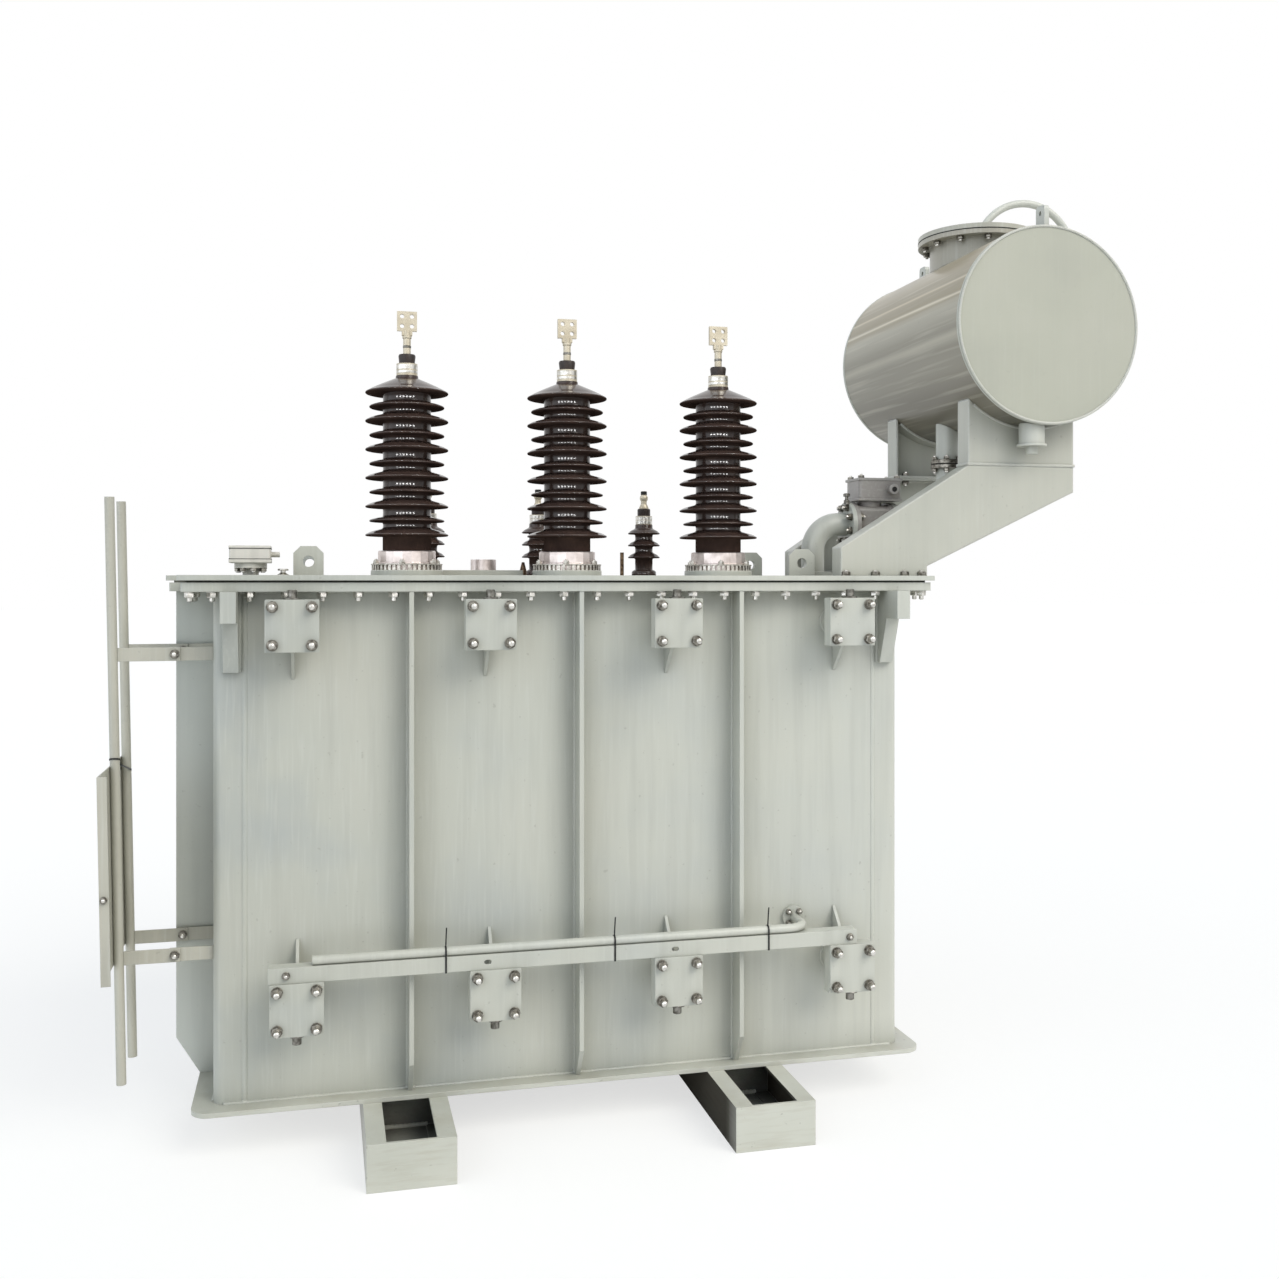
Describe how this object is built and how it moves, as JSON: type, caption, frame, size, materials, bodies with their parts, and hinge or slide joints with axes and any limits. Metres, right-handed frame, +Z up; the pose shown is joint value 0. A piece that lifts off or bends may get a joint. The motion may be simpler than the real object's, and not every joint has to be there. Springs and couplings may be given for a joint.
{
  "type": "power transformer",
  "caption": "Oil-filled power transformer tank on twin skids, with ribbed bolted cover, porcelain bushings, conservator on arms, gas relay and blanked radiator connections.",
  "frame": {"origin": "on the ground under the middle of the whole object's box", "axes": "+X along the tank towards the conservator, +Y from the high-voltage side to the low-voltage side, +Z up"},
  "size_m": [3.3728, 1.626, 3.1025],
  "materials": {
    "paint": "semi-matt pale grey-green paint",
    "gasket": "matt black rubber-cork sheet",
    "winding": "varnished core and windings, out of sight",
    "glaze": "dark brown glazed porcelain",
    "base_metal": "bare cast aluminium",
    "terminal": "tinned terminal metal",
    "cast_fitting": "painted castings",
    "plug": "dull brass and zinc"
  },
  "bodies": {
    "root": {"skid_left": "paint", "skid_right": "paint", "base_plate": "paint", "front_wall": "paint", "back_wall": "paint", "left_end_wall": "paint", "right_end_wall": "paint", "end_pocket": "paint", "rim_front": "paint", "rim_back": "paint", "rim_left": "paint", "rim_right": "paint", "cover": "paint", "front_ribs": "paint", "back_ribs": "paint", "lifting_hooks": "paint", "radiator_stubs": "paint", "radiator_valves": "paint", "blank_plates": "paint", "pipe_rail": "paint", "stowed_pipe": "paint", "cover_lugs": "paint", "tap_plate": "paint", "arm_near": "paint", "arm_far": "paint", "saddle_near": "paint", "saddle_far": "paint", "conservator_shell": "paint", "conservator_near_end": "paint", "conservator_far_end": "paint", "conservator_sump": "paint", "manhole_neck": "paint", "manhole_lid": "paint", "conservator_ears": "paint", "breather_pipe": "paint", "relay_riser": "paint", "relay_pipe": "paint", "frame_posts": "paint", "frame_arms": "paint", "frame_wall_bars": "paint", "frame_board": "paint", "cover_gasket": "gasket", "core_and_windings": "winding", "hv_porcelain_1": "glaze", "hv_porcelain_2": "glaze", "hv_porcelain_3": "glaze", "lv_porcelains": "glaze", "hv_base_1": "base_metal", "hv_base_2": "base_metal", "hv_base_3": "base_metal", "hv_terminal_1": "terminal", "hv_terminal_2": "terminal", "hv_terminal_3": "terminal", "lv_terminals": "terminal", "relief_valve": "cast_fitting", "tap_cap": "cast_fitting", "gas_relay": "cast_fitting", "cover_plugs": "plug"}
  },
  "joints": []
}
